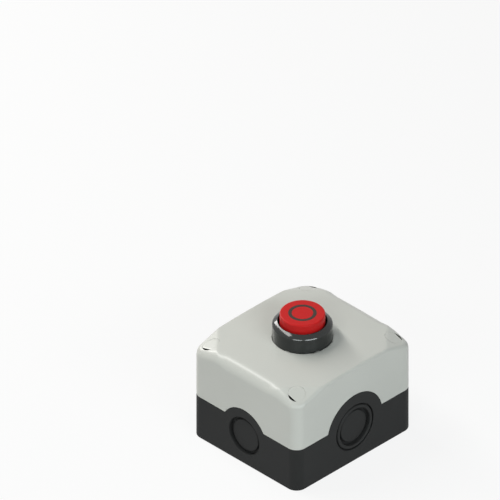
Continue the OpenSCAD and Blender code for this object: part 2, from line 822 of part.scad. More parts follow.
base();
cover();
cover_gasket();
cover_screws();
screw_caps();
bezel();
panel_gasket();
barrel();
stem_seal();
ring_nut();
button_cap();
off_symbol();
button_stem();
return_spring();
adapter();
adapter_screw();
nc_housing();
nc_lid();
nc_plunger();
nc_bridge();
nc_contact_spring();
nc_return_spring();
nc_fixed_contacts();
no_housing();
no_lid();
no_plunger();
no_bridge();
no_contact_spring();
no_return_spring();
no_fixed_contacts();
terminal_screws();
clamp_plates();
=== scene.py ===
"""Looks of a surface-mounted control station with one red pushbutton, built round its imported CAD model.

The file follows the object as it is put together: studio, back box, cover, plugs, bezel, button and
ring symbol, and then what the box holds: seals, operator, screws, contact blocks and springs.
"""

import math

import bmesh
import bpy
from mathutils import Matrix, Vector


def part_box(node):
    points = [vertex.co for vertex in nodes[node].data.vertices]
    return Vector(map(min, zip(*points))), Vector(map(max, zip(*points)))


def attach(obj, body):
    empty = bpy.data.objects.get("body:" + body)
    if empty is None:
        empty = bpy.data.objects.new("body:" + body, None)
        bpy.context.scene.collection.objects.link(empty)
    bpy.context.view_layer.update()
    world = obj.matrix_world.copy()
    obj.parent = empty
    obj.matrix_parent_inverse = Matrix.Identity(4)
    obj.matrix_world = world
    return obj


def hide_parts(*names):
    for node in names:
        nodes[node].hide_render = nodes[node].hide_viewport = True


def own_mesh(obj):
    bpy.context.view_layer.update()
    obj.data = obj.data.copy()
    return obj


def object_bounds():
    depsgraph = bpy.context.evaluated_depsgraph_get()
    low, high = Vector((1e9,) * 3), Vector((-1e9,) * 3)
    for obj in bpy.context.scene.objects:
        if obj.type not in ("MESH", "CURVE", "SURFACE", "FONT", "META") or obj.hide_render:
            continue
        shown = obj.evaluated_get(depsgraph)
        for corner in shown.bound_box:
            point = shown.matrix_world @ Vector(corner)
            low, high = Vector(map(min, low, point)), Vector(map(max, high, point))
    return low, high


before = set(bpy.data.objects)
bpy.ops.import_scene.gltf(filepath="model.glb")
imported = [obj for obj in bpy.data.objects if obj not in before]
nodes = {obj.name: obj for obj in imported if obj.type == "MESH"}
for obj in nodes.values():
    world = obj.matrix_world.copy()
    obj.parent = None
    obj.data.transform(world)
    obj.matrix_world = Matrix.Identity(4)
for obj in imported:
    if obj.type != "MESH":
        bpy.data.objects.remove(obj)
cad_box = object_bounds()
mm = 0.001

# Camera: a parallel view from the front right and above, equally steep to all three axes.
# Its width and aim put the station where the photograph has it.
back = Vector((1, -1, 1)).normalized()
right = Vector((1, 1, 0)).normalized()
up = back.cross(right)
view_width = 0.24219
aim_right, aim_up = -25.41 * mm, 87.13 * mm
camera_distance, sight = 0.6, 10
camera = bpy.data.objects.new("camera", bpy.data.cameras.new("camera"))
camera.data.type = "ORTHO"
camera.data.ortho_scale = view_width
camera.data.clip_end = sight
stand = Matrix.Translation(right * aim_right + up * aim_up + back * camera_distance)
camera.matrix_world = stand @ Matrix((right, up, back)).transposed().to_4x4()
bpy.context.scene.collection.objects.link(camera)
bpy.context.scene.camera = camera
bpy.context.scene.view_settings.view_transform = "Standard"

# Lamps: long soft boxes round the station, as in a product studio. The large one climbs over the
# left side, and two strips stand on either side of the camera. Each lamp spans two directions.
centre = (cad_box[0] + cad_box[1]) / 2
lamp_distance = 0.9


def soft_box(name, start, end, width, watts, colour):
    """A long lamp that faces the station and reaches from one direction to another."""
    ends = [Vector(v).normalized() * lamp_distance for v in (start, end)]
    middle = (ends[0] + ends[1]) / 2
    along = ends[1] - ends[0]
    data = bpy.data.lights.new(name, "AREA")
    data.shape = "RECTANGLE"
    data.size, data.size_y = along.length, width
    data.energy = watts
    data.color = colour
    lamp = bpy.data.objects.new(name, data)
    axes = Matrix((along.normalized(), middle.cross(along).normalized(), middle.normalized()))
    lamp.matrix_world = Matrix.Translation(centre + middle) @ axes.transposed().to_4x4()
    bpy.context.scene.collection.objects.link(lamp)


soft_box("box_left", start=(-0.958, 0.196, 0.30), end=(-0.228, -0.382, 0.891),
         width=0.13, watts=5.3, colour=(1.0, 0.985, 0.955))
soft_box("strip_front", start=(0.16, -0.85, 0.50), end=(0.58, -0.62, 0.53),
         width=0.1, watts=1.65, colour=(0.94, 1.0, 0.99))
soft_box("strip_right", start=(0.70, -0.49, 0.52), end=(0.885, 0.13, 0.45),
         width=0.12, watts=3.05, colour=(0.91, 0.985, 1.0))

# Surroundings: an even pale room that lends a little light from all sides. The camera sees it as
# plain white, and so do the reflections.
room_colour, room_strength = (0.95, 0.98, 1.0, 1), 0.07
plain_white = (1, 1, 1, 1)


def seen_by_camera(tree):
    """A socket that is 1 on what the camera sees, straight, mirrored or through glass."""
    path = tree.nodes.new("ShaderNodeLightPath")
    seen = path.outputs["Is Camera Ray"]
    for kind in ("Is Glossy Ray", "Is Transmission Ray"):
        either = tree.nodes.new("ShaderNodeMath")
        either.operation = "MAXIMUM"
        tree.links.new(seen, either.inputs[0])
        tree.links.new(path.outputs[kind], either.inputs[1])
        seen = either.outputs[0]
    return seen


world = bpy.data.worlds.new("studio")
bpy.context.scene.world = world
world.use_nodes = True
sky = world.node_tree
sky.nodes.clear()
room = sky.nodes.new("ShaderNodeBackground")
room.inputs["Color"].default_value = room_colour
room.inputs["Strength"].default_value = room_strength
white = sky.nodes.new("ShaderNodeBackground")
white.inputs["Color"].default_value = plain_white
white.inputs["Strength"].default_value = 1
pick = sky.nodes.new("ShaderNodeMixShader")
sky.links.new(seen_by_camera(sky), pick.inputs[0])
sky.links.new(room.outputs[0], pick.inputs[1])
sky.links.new(white.outputs[0], pick.inputs[2])
sky.links.new(pick.outputs[0], sky.nodes.new("ShaderNodeOutputWorld").inputs["Surface"])

# Floor: a plain pale sweep under the station, with the station's soft shadow on it. It lies just
# clear of the station's back. To the camera most of it glows white, and the rest takes the shadow.
floor_half, floor_gap = 3, 0.05 * mm
paper_grey = (0.8, 0.8, 0.8, 1)
glow_share = 0.86
floor_bm = bmesh.new()
bmesh.ops.create_grid(floor_bm, x_segments=1, y_segments=1, size=floor_half,
                      matrix=Matrix.Translation((0, 0, -floor_gap)))
floor_mesh = bpy.data.meshes.new("floor")
floor_bm.to_mesh(floor_mesh)
floor_bm.free()
floor = bpy.data.objects.new("floor", floor_mesh)
bpy.context.scene.collection.objects.link(floor)
paper = bpy.data.materials.new("backdrop_paper")
paper.use_nodes = True
sweep = paper.node_tree
sweep.nodes.clear()
matt = sweep.nodes.new("ShaderNodeBsdfDiffuse")
matt.inputs["Color"].default_value = paper_grey
glow = sweep.nodes.new("ShaderNodeEmission")
glow.inputs["Strength"].default_value = 1
lit = sweep.nodes.new("ShaderNodeMath")
lit.operation = "MULTIPLY"
lit.inputs[1].default_value = glow_share
sweep.links.new(seen_by_camera(sweep), lit.inputs[0])
pick = sweep.nodes.new("ShaderNodeMixShader")
sweep.links.new(lit.outputs[0], pick.inputs[0])
sweep.links.new(matt.outputs[0], pick.inputs[1])
sweep.links.new(glow.outputs[0], pick.inputs[2])
sweep.links.new(pick.outputs[0], sweep.nodes.new("ShaderNodeOutputMaterial").inputs["Surface"])
floor.data.materials.append(paper)

# Base: the back box, one black moulding screwed to the wall. Its walls rise into round tabs
# at the cable entries, and its floor carries four pillars for the cover's screws.
base_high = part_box("base")[1]
half_x, half_y = base_high.x, base_high.y
rim_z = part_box("cover")[0].z
corner_r, corner_steps = 5.65 * mm, 14
base_wall, base_floor = 3 * mm, 3 * mm
back_edge_r, floor_edge_r = 0.5 * mm, 1 * mm
side_entry_z, side_tab_r = 19.8 * mm, 18.8 * mm
end_entry_z, end_tab_r = 16.3 * mm, 15.2 * mm
entries = ((1, 0, side_entry_z, side_tab_r), (-1, 0, side_entry_z, side_tab_r),
           (0, 1, end_entry_z, end_tab_r), (0, -1, end_entry_z, end_tab_r))
corners = [(x, y) for x in (-1, 1) for y in (-1, 1)]
well_x, well_y = half_x - 6.7 * mm, half_y - 6.2 * mm
fixing_x, fixing_y = 24 * mm, 26 * mm
blank_top = side_entry_z + side_tab_r + 2 * mm
beyond, clear_z, far_z = 50 * mm, 60 * mm, 70 * mm
tab_reach = 6 * mm


def solid(bm, name):
    """A finished bmesh as an object at the origin."""
    mesh = bpy.data.meshes.new(name)
    bm.to_mesh(mesh)
    bm.free()
    piece = bpy.data.objects.new(name, mesh)
    bpy.context.scene.collection.objects.link(piece)
    return piece


def stacked(levels, name):
    """A closed solid whose skin runs through rings of points from its foot to its top."""
    bm = bmesh.new()
    ring = bmesh.ops.create_circle(bm, cap_ends=False, segments=len(levels[0]), radius=1)["verts"]
    for vert, point in zip(ring, levels[0]):
        vert.co = point
    for level in levels[1:]:
        edges = [bm.edges.get((ring[i - 1], ring[i])) for i in range(len(ring))]
        made = bmesh.ops.extrude_edge_only(bm, edges=edges)["geom"]
        new = {v for v in made if isinstance(v, bmesh.types.BMVert)}
        ring = [next(e.other_vert(v) for e in v.link_edges if e.other_vert(v) in new) for v in ring]
        for vert, point in zip(ring, level):
            vert.co = point
    bmesh.ops.holes_fill(bm, edges=[e for e in bm.edges if e.is_boundary], sides=0)
    bmesh.ops.recalc_face_normals(bm, faces=bm.faces)
    return solid(bm, name)


def rounded_ring(reach_x, reach_y, radius, corner_steps, side_steps, end_steps):
    """Points round a rectangle with rounded corners. They stand closer towards the corners."""
    ring = []
    for turn, steps in ((0, end_steps), (1, side_steps), (2, end_steps), (3, side_steps)):
        cx = (reach_x - radius) * (1 if turn in (0, 3) else -1)
        cy = (reach_y - radius) * (1 if turn in (0, 1) else -1)
        for k in range(corner_steps + 1):
            a = (turn + k / corner_steps) * math.pi / 2
            ring.append(Vector((cx + radius * math.cos(a), cy + radius * math.sin(a))))
        nx = (reach_x - radius) * (1 if turn in (2, 3) else -1)
        ny = (reach_y - radius) * (1 if turn in (0, 3) else -1)
        a = (turn + 1) * math.pi / 2
        following = Vector((nx + radius * math.cos(a), ny + radius * math.sin(a)))
        last = ring[-1]
        ring += [last.lerp(following, (1 - math.cos(k / steps * math.pi)) / 2) for k in range(1, steps)]
    return ring


def rim_ring(inset, z):
    """Points at one height round the box's outline, or round one set in from it."""
    ring = rounded_ring(half_x - inset, half_y - inset, corner_r - inset, corner_steps, 1, 1)
    return [(p.x, p.y, z) for p in ring]


def rounded_rings(inset, z, radius, steps=4):
    """Rings up a rounded lower edge: a box's outer edge, or the foot of its inner wall."""
    rings = []
    for k in range(steps + 1):
        a = k / steps * math.pi / 2
        rings.append(rim_ring(inset + radius * (1 - math.sin(a)), z + radius * (1 - math.cos(a))))
    return rings


def brick(name, low, high):
    """A plain block between two corners, used to cut or to fill."""
    bm = bmesh.new()
    low, high = Vector(low), Vector(high)
    size = Matrix.Diagonal((*(high - low), 1))
    bmesh.ops.create_cube(bm, size=1, matrix=Matrix.Translation((low + high) / 2) @ size)
    return solid(bm, name)


def turned(profile, name, segments=128, place=Matrix.Identity(4)):
    """A closed profile of (radius, height) points turned about Z, then put in its place."""
    bm = bmesh.new()
    ring = [bm.verts.new((r, 0, z)) for r, z in profile]
    pairs = [(ring[i - 1], ring[i]) for i in range(len(ring))]
    edges = [bm.edges.new(pair) for pair in pairs if pair[0].co.x + pair[1].co.x > 0]
    bmesh.ops.spin(bm, geom=ring + edges, cent=(0, 0, 0), axis=(0, 0, 1), dvec=(0, 0, 0),
                   angle=math.tau, steps=segments, use_merge=True, use_duplicate=False)
    bmesh.ops.remove_doubles(bm, verts=bm.verts, dist=1e-7)
    bmesh.ops.dissolve_degenerate(bm, edges=bm.edges, dist=1e-7)
    bmesh.ops.recalc_face_normals(bm, faces=bm.faces)
    bmesh.ops.transform(bm, matrix=place, verts=bm.verts)
    return solid(bm, name)


def facing(x, y, z):
    """Turns +Z outwards on the wall in direction (x, y), at height z."""
    turn = Matrix.Rotation(math.pi / 2 * x, 4, "Y") if x else Matrix.Rotation(-math.pi / 2 * y, 4, "X")
    return Matrix.Translation((x * half_x, y * half_y, z)) @ turn


def combine(piece, operation, *tools):
    """Cuts a piece with closed tools, or joins them to it."""
    for tool in tools:
        step = piece.modifiers.new("combine", "BOOLEAN")
        step.operation = operation
        step.solver = "MANIFOLD"
        step.object = tool
    graph = bpy.context.evaluated_depsgraph_get()
    mesh = bpy.data.meshes.new_from_object(piece.evaluated_get(graph))
    piece.modifiers.clear()
    piece.data = mesh
    for tool in tools:
        bpy.data.objects.remove(tool)


base = stacked(rounded_rings(0, 0, back_edge_r) + [rim_ring(0, blank_top)], "base_moulding")
inner_rings = rounded_rings(base_wall, base_floor, floor_edge_r) + [rim_ring(base_wall, clear_z)]
base_hollow = stacked(inner_rings, "base_hollow")
above_rim = brick("above_rim", (-beyond, -beyond, rim_z), (beyond, beyond, far_z))
tabs = [turned([(0, -tab_reach), (r, -tab_reach), (r, tab_reach), (0, tab_reach)], "tab",
               segments=160, place=facing(x, y, z)) for x, y, z, r in entries]
combine(above_rim, "DIFFERENCE", *tabs)
combine(base, "DIFFERENCE", base_hollow)
combine(base, "DIFFERENCE", above_rim)

# On its floor stand the pillars, with pilot holes, and low bosses round the holes of the wall
# screws. Its back is hollowed between the rim, two crossing ribs and a ring round each screw.
pillar_r, pilot_r, pilot_low, pilot_high = 4.8 * mm, 2 * mm, 11.1 * mm, 30 * mm
boss_r, boss_top, fixing_r = 4.2 * mm, 4 * mm, 2.4 * mm
in_floor = 1.5 * mm
back_rim, back_deep, rib_half, ring_r = 4 * mm, 0.8 * mm, 3 * mm, 5 * mm
below, under_ribs, above_floor = -1 * mm, 2 * mm, 10 * mm


def pin(name, radius, low, high, x=0, y=0, segments=64):
    """A plain upright round bar, used to cut or to fill."""
    bm = bmesh.new()
    bmesh.ops.create_cone(bm, cap_ends=True, segments=segments, radius1=radius, radius2=radius,
                          depth=high - low, matrix=Matrix.Translation((x, y, (low + high) / 2)))
    return solid(bm, name)


pillars = [pin("pillar", pillar_r, in_floor, rim_z, x * well_x, y * well_y) for x, y in corners]
bosses = [pin("boss", boss_r, in_floor, boss_top, x * fixing_x, y * fixing_y) for x, y in corners]
combine(base, "UNION", *pillars, *bosses)
recess = stacked([rim_ring(back_rim, z) for z in (below, back_deep)], "back_recess")
ribs = [brick("rib", (-rib_half, -beyond, -under_ribs), (rib_half, beyond, under_ribs)),
        brick("rib", (-beyond, -rib_half, -under_ribs), (beyond, rib_half, under_ribs))]
rings = [pin("screw_ring", ring_r, -under_ribs, under_ribs, x * fixing_x, y * fixing_y)
         for x, y in corners]
combine(recess, "DIFFERENCE", *ribs, *rings)
holes = [pin("fixing_hole", fixing_r, below, above_floor, x * fixing_x, y * fixing_y) for x, y in corners]
pilots = [pin("pilot_hole", pilot_r, pilot_low, pilot_high, x * well_x, y * well_y) for x, y in corners]
combine(base, "DIFFERENCE", recess, *holes, *pilots)

# Each wall has a knock-out: a deep round channel about a low pad. A second, thinner groove runs
# round those of the side walls, where a larger cable gland fits.
channel_r, channel_deep = 10.2 * mm, 2.5 * mm
pad_r, pad_foot_r, pad_deep = 8.5 * mm, 8.8 * mm, 1.1 * mm
groove_in, groove_out, groove_deep = 11.9 * mm, 12.7 * mm, 1.6 * mm
outside = 1 * mm


def softened(profile, steps=3):
    """A closed profile of (radius, height, rounding) corners, each rounded by a short arc."""
    out = []
    for i, corner in enumerate(profile):
        p, r = Vector(corner[:2]), corner[2]
        before = Vector(profile[i - 1][:2]) - p
        after = Vector(profile[(i + 1) % len(profile)][:2]) - p
        angle = before.angle(after)
        if r <= 0 or angle > math.radians(170):
            out.append(p)
            continue
        reach = min(r / math.tan(angle / 2), before.length * 0.45, after.length * 0.45)
        r = reach * math.tan(angle / 2)
        middle = p + (before.normalized() + after.normalized()).normalized() * (r / math.sin(angle / 2))
        start = p + before.normalized() * reach - middle
        end = p + after.normalized() * reach - middle
        sweep = math.atan2(start.x * end.y - start.y * end.x, start.dot(end))
        for k in range(steps + 1):
            a = sweep * k / steps
            out.append(middle + Vector((start.x * math.cos(a) - start.y * math.sin(a),
                                        start.x * math.sin(a) + start.y * math.cos(a))))
    return out


knock_out = softened([(0, outside, 0), (channel_r + 0.2 * mm, outside, 0), (channel_r + 0.2 * mm, 0, 0),
                      (channel_r, -0.3 * mm, 0.2 * mm), (channel_r, -channel_deep, 0.3 * mm),
                      (pad_foot_r, -channel_deep, 0.3 * mm), (pad_r, -pad_deep, 0.5 * mm),
                      (0, -pad_deep, 0)])
thin_groove = softened([(groove_in - 0.3 * mm, outside, 0), (groove_in - 0.3 * mm, 0, 0),
                        (groove_in, -0.3 * mm, 0.2 * mm), (groove_in, -groove_deep, 0.15 * mm),
                        (groove_out, -groove_deep, 0.15 * mm), (groove_out, -0.15 * mm, 0.05 * mm),
                        (groove_out + 0.15 * mm, 0, 0), (groove_out + 0.15 * mm, outside, 0)])
sunk = [turned(knock_out, "knock_out", place=facing(x, y, z)) for x, y, z, r in entries]
sunk += [turned(thin_groove, "knock_out_groove", place=facing(x, 0, side_entry_z)) for x in (-1, 1)]
combine(base, "DIFFERENCE", *sunk)

# Its moulded plastic has a fine spark-eroded grain, a slow change of tone where the melt has
# flowed, and a sheen that varies with the grain. Colour and gloss belong to each piece.
grain_group = bpy.data.node_groups.new("moulded_grain", "ShaderNodeTree")
group_inputs = (("Colour", "NodeSocketColor"), ("Roughness", "NodeSocketFloat"),
                ("Grain per metre", "NodeSocketFloat"), ("Depth", "NodeSocketFloat"),
                ("Tone change", "NodeSocketFloat"))
group_outputs = (("Colour", "NodeSocketColor"), ("Roughness", "NodeSocketFloat"),
                 ("Normal", "NodeSocketVector"))
for way, sockets in (("INPUT", group_inputs), ("OUTPUT", group_outputs)):
    for name, kind in sockets:
        grain_group.interface.new_socket(name, in_out=way, socket_type=kind)
noise_low, noise_high = 0.3, 0.7
flow_per_metre = 28
sheen_low, sheen_high = 0.92, 1.08
shade = grain_group.nodes
link = grain_group.links.new
given = shade.new("NodeGroupInput")
result = shade.new("NodeGroupOutput")
place = shade.new("ShaderNodeTexCoord")
fine = shade.new("ShaderNodeTexNoise")
fine.inputs["Detail"].default_value = 2
link(place.outputs["Object"], fine.inputs["Vector"])
link(given.outputs["Grain per metre"], fine.inputs["Scale"])
flow = shade.new("ShaderNodeTexNoise")
flow.inputs["Scale"].default_value = flow_per_metre
flow.inputs["Detail"].default_value = 3
link(place.outputs["Object"], flow.inputs["Vector"])
bump = shade.new("ShaderNodeBump")
bump.inputs["Strength"].default_value = 1
link(given.outputs["Depth"], bump.inputs["Distance"])
link(fine.outputs["Fac"], bump.inputs["Height"])
link(bump.outputs["Normal"], result.inputs["Normal"])
darker = shade.new("ShaderNodeMath")
darker.operation = "SUBTRACT"
darker.inputs[0].default_value = 1
link(given.outputs["Tone change"], darker.inputs[1])
lighter = shade.new("ShaderNodeMath")
lighter.inputs[0].default_value = 1
link(given.outputs["Tone change"], lighter.inputs[1])
tone = shade.new("ShaderNodeMapRange")
link(flow.outputs["Fac"], tone.inputs["Value"])
tone.inputs["From Min"].default_value = noise_low
tone.inputs["From Max"].default_value = noise_high
link(darker.outputs[0], tone.inputs["To Min"])
link(lighter.outputs[0], tone.inputs["To Max"])
tinted = shade.new("ShaderNodeVectorMath")
tinted.operation = "SCALE"
link(given.outputs["Colour"], tinted.inputs[0])
link(tone.outputs[0], tinted.inputs["Scale"])
link(tinted.outputs[0], result.inputs["Colour"])
sheen = shade.new("ShaderNodeMapRange")
link(fine.outputs["Fac"], sheen.inputs["Value"])
sheen.inputs["From Min"].default_value = noise_low
sheen.inputs["From Max"].default_value = noise_high
sheen.inputs["To Min"].default_value = sheen_low
sheen.inputs["To Max"].default_value = sheen_high
gloss = shade.new("ShaderNodeMath")
gloss.operation = "MULTIPLY"
link(given.outputs["Roughness"], gloss.inputs[0])
link(sheen.outputs[0], gloss.inputs[1])
link(gloss.outputs[0], result.inputs["Roughness"])


def moulded(name, colour, roughness, grain=4000, depth=0.004 * mm, tone_change=0.02, specular=0.5):
    """A moulded plastic of one colour, with its own gloss and grain."""
    material = bpy.data.materials.new(name)
    material.use_nodes = True
    tree = material.node_tree
    shader = tree.nodes["Principled BSDF"]
    shader.inputs["Specular IOR Level"].default_value = specular
    group = tree.nodes.new("ShaderNodeGroup")
    group.node_tree = grain_group
    group.inputs["Colour"].default_value = (*colour, 1)
    group.inputs["Roughness"].default_value = roughness
    group.inputs["Grain per metre"].default_value = grain
    group.inputs["Depth"].default_value = depth
    group.inputs["Tone change"].default_value = tone_change
    tree.links.new(group.outputs["Colour"], shader.inputs["Base Color"])
    tree.links.new(group.outputs["Roughness"], shader.inputs["Roughness"])
    tree.links.new(group.outputs["Normal"], shader.inputs["Normal"])
    return material


def finish_piece(piece, material, sharp=30):
    """Smooth faces in one material. Creases stay sharp, and flat faces shade flat up to their edges."""
    mesh = piece.data
    mesh.materials.clear()
    mesh.materials.append(material)
    for face in mesh.polygons:
        face.use_smooth = True
        face.material_index = 0
    mesh.set_sharp_from_angle(angle=math.radians(sharp))
    even = piece.modifiers.new("even_normals", "WEIGHTED_NORMAL")
    even.keep_sharp = True
    return piece


black_base = moulded("black_base_plastic", (0.022, 0.0225, 0.0225), 0.6, specular=0.15)
finish_piece(base, black_base)
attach(base, "station")
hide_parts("base")

# Cover: the light grey front shell, moulded hollow. Its crown is arched from end to end and a little
# from side to side, and its four corners fall away in tilted facets with the screw wells.
# The edge along each end wall is more rounded than along a side, and less so where it meets a facet.
seat_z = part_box("bezel")[0].z
crown_z = seat_z + 0.6 * mm
crown_r, cross_r = 470 * mm, 600 * mm
side_edge_r, end_edge_r = 1.5 * mm, 5.5 * mm
facet_tilt = math.radians(22.5)
facet_z = crown_z - 3.2 * mm
crease_r = 0.2 * mm
facet_easing, easing_length = 0.6, 2.5 * mm
cover_wall = 2.8 * mm
ray_length, halvings = 40 * mm, 26


def joined(a, b, r):
    """Distance from where two surfaces meet in a rounded edge of radius r."""
    return min(-r, max(a, b)) + math.hypot(max(r + a, 0), max(r + b, 0))


def cover_gap(x, y, z):
    """Distance of a point from the cover's outer surface, negative inside."""
    x, y = abs(x), abs(y)
    rise = math.hypot(y, z - crown_z + crown_r) - crown_r + cross_r
    crown = math.hypot(x, rise) - cross_r
    outwards = (x - well_x + y - well_y) / math.sqrt(2)
    facet = outwards * math.sin(facet_tilt) + (z - facet_z) * math.cos(facet_tilt)
    side, end = x - half_x, y - half_y
    wall = joined(side, end, corner_r)
    at_end = min(max(0.5 + (end - side) / (2 * corner_r), 0), 1)
    at_facet = min(max(0.5 + (facet - crown) / easing_length, 0), 1)
    edge_r = side_edge_r + (end_edge_r - side_edge_r) * at_end * (1 - facet_easing * at_facet)
    return joined(joined(crown, facet, crease_r), wall, edge_r)


def reach_surface(origin, direction, inset):
    """The point of the surface, or of one inside it, along a ray from within, found by halving."""
    near, far = 0, ray_length
    for _ in range(halvings):
        middle = (near + far) / 2
        if cover_gap(*(origin + direction * middle)) + inset < 0:
            near = middle
        else:
            far = middle
    return origin + direction * near


# Rays find the form. They start from a ring within the walls, turn from level to upright over the
# edge, and then move in to the seat. Their angles lie close together where the edge is rounded,
# and over the crown they aim at points half a millimetre apart.
outline_counts = (corner_steps, 64, 56)
spine_inset, spine_r, spine_z = 9 * mm, 3 * mm, 45 * mm
inner_r, inner_rows = 14 * mm, 20
edge_angles = [17 + 38 * k / 34 for k in range(35)]
crown_angles = [math.degrees(math.atan2(9.2 * mm, (6 - 0.5 * k) * mm)) for k in range(13)]
ray_angles = [0, 10] + edge_angles + crown_angles
foot_flare = 0.15 * mm


def dome(name, inset, foot_z, flare):
    """The cover's outer form, or its hollow, with a foot that flares in or out a little."""
    outline = rounded_ring(half_x - inset, half_y - inset, corner_r - inset, *outline_counts)
    spine = rounded_ring(half_x - spine_inset, half_y - spine_inset, spine_r, *outline_counts)
    levels = []
    for angle in ray_angles:
        a = math.radians(angle)
        level = []
        for p, s in zip(outline, spine):
            out = (p - s).normalized()
            direction = Vector((out.x * math.cos(a), out.y * math.cos(a), math.sin(a)))
            level.append(reach_surface(Vector((s.x, s.y, spine_z)), direction, inset))
        levels.append(level)
    for k in range(1, inner_rows + 1):
        level = []
        for s in spine:
            p = s.lerp(s.normalized() * inner_r, k / inner_rows)
            level.append(reach_surface(Vector((p.x, p.y, spine_z)), Vector((0, 0, 1)), inset))
        levels.append(level)
    lead = [Vector((p.x, p.y, foot_z + abs(flare))) for p in levels[0]]
    foot = []
    for p, s in zip(lead, spine):
        inward = Vector((s.x - p.x, s.y - p.y, 0)).normalized()
        foot.append(p + inward * flare - Vector((0, 0, abs(flare))))
    start = [foot] if inset == 0 else [[v - Vector((0, 0, 2 * mm)) for v in foot], foot]
    return stacked(start + [lead] + levels, name)


# Inside, tubes surround the screw wells and a thick round boss the button's hole. Arches fit over
# the base's tabs, and a groove in the rim takes the gasket.
well_r, mouth_y = 4.2 * mm, well_y - 0.6 * mm
tube_r, tube_low, screw_r = 5.6 * mm, 20 * mm, 2.25 * mm
boss_r, boss_t = 16.4 * mm, 2.8 * mm
arch_gap, arch_flare, arch_reach = 0.1 * mm, 0.15 * mm, 5 * mm
well_floor = rim_z + 6 * mm
pocket_r, hole_r, hole_low = 14.87 * mm, 11.25 * mm, 40 * mm
key_half, key_reach = 1.62 * mm, 12.85 * mm
cover = dome("cover_moulding", 0, rim_z, foot_flare)
hollow = dome("cover_hollow", cover_wall, rim_z, -foot_flare)
tubes = [pin("screw_tube", tube_r, tube_low, clear_z, x * well_x, y * mouth_y) for x, y in corners]
boss = pin("button_boss", boss_r, seat_z - boss_t, clear_z, segments=128)
combine(hollow, "DIFFERENCE", boss, *tubes)
combine(cover, "DIFFERENCE", hollow)
arches = []
for x, y, z, r in entries:
    arch_r = r + arch_gap
    profile = [(0, -arch_reach), (arch_r, -arch_reach), (arch_r, -arch_flare),
               (arch_r + arch_flare, 0), (arch_r + arch_flare, arch_reach), (0, arch_reach)]
    arches.append(turned(profile, "arch", segments=160, place=facing(x, y, z)))
combine(cover, "DIFFERENCE", *arches)
wells = [pin("screw_well", well_r, well_floor, clear_z, x * well_x, y * mouth_y) for x, y in corners]
wells += [pin("screw_hole", screw_r, tube_low, well_floor + 1 * mm, x * well_x, y * well_y)
          for x, y in corners]
pocket = pin("seat_pocket", pocket_r, seat_z, clear_z, segments=160)
hole = pin("button_hole", hole_r, hole_low, clear_z, segments=128)
notch = brick("key_notch", (-key_half, 0, hole_low), (key_half, key_reach, clear_z))
combine(cover, "DIFFERENCE", *wells, pocket, hole, notch)
gasket = bmesh.new()
gasket.from_mesh(nodes["cover_gasket"].data)
bmesh.ops.remove_doubles(gasket, verts=gasket.verts, dist=1e-6)
combine(cover, "DIFFERENCE", solid(gasket, "gasket_groove"))

# Its plastic is light grey with a low gloss. The walls of the wells carry painted shade, near black.
light_cover = moulded("light_grey_cover_plastic", (0.60, 0.605, 0.565), 0.33, specular=0.4)
finish_piece(cover, light_cover)
well_painted_shade = moulded("well_painted_shade_plastic", (0.045, 0.045, 0.042), 0.8, specular=0.1, tone_change=0.2)
cover.data.materials.append(well_painted_shade)
# Faces of the well walls get the painted shade, a dark stand-in for the shade deep in the wells.
for face in cover.data.polygons:
    from_axis = math.hypot(abs(face.center.x) - well_x, abs(face.center.y) - mouth_y)
    in_well = from_axis < well_r + 0.1 * mm and face.center.z > well_floor - 1 * mm
    if in_well and abs(face.normal.z) < 0.5:
        face.material_index = 1
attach(cover, "station")
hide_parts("cover")

# Plugs of the screw wells: thin light grey caps, flush with the facets, each on a short stem with a
# foot. A straight outer side leaves a slot for the tip of a screwdriver. Painted shade on the plug's
# underside, stem and foot makes the slot look dark.
plug_r, plug_flat, plug_t = well_r - 0.01 * mm, 3.2 * mm, 0.35 * mm
stem_r, stem_top, stem_foot, foot_low = 1.3 * mm, 1.6 * mm, 3.4 * mm, 4 * mm
face_rows = ((1, 0.012 * mm), (0.99, 0), (0.75, 0), (0.5, 0), (0.25, 0))
painted_shade_drop, outline_points = 2.5 * mm, 96


def plug_outline(x, y, radius, flat):
    """Points round a disc in a well, cut straight on the side of the end wall."""
    ring = []
    for k in range(outline_points):
        a = k / outline_points * math.tau
        outwards = min(radius * math.sin(a), flat)
        ring.append(Vector((x * well_x + radius * math.cos(a), y * mouth_y + outwards * y)))
    return ring


def plug_rings(x, y, radius, drops):
    """Full round rings of a plug, at depths below the facets' height at the wells."""
    return [[(p.x, p.y, facet_z - drop) for p in plug_outline(x, y, radius, radius)] for drop in drops]


for x, y in corners:
    cap_rings = []
    for scale, drop in face_rows:
        ring = plug_outline(x, y, plug_r * scale, plug_flat * scale)
        cap_rings.append([reach_surface(Vector((*p, spine_z)), Vector((0, 0, 1)), drop) for p in ring])
    under = [Vector((v.x, v.y, v.z - plug_t)) for v in cap_rings[0]]
    foot = plug_rings(x, y, plug_r, (foot_low, stem_foot))
    stem = plug_rings(x, y, stem_r, (stem_foot, stem_top))
    side, end = "left" if x < 0 else "right", "low" if y < 0 else "high"
    plug = stacked(foot + stem + [under] + cap_rings, "well_plug_%s_%s" % (side, end))
    finish_piece(plug, light_cover, sharp=40)
    plug.data.materials.append(well_painted_shade)
    # The underside, stem and foot of each plug get the wells' painted shade.
    for part in plug.data.polygons:
        if part.normal.z < 0.5 or part.center.z < facet_z - painted_shade_drop:
            part.material_index = 1
    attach(plug, "station")
    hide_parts("screw_caps")

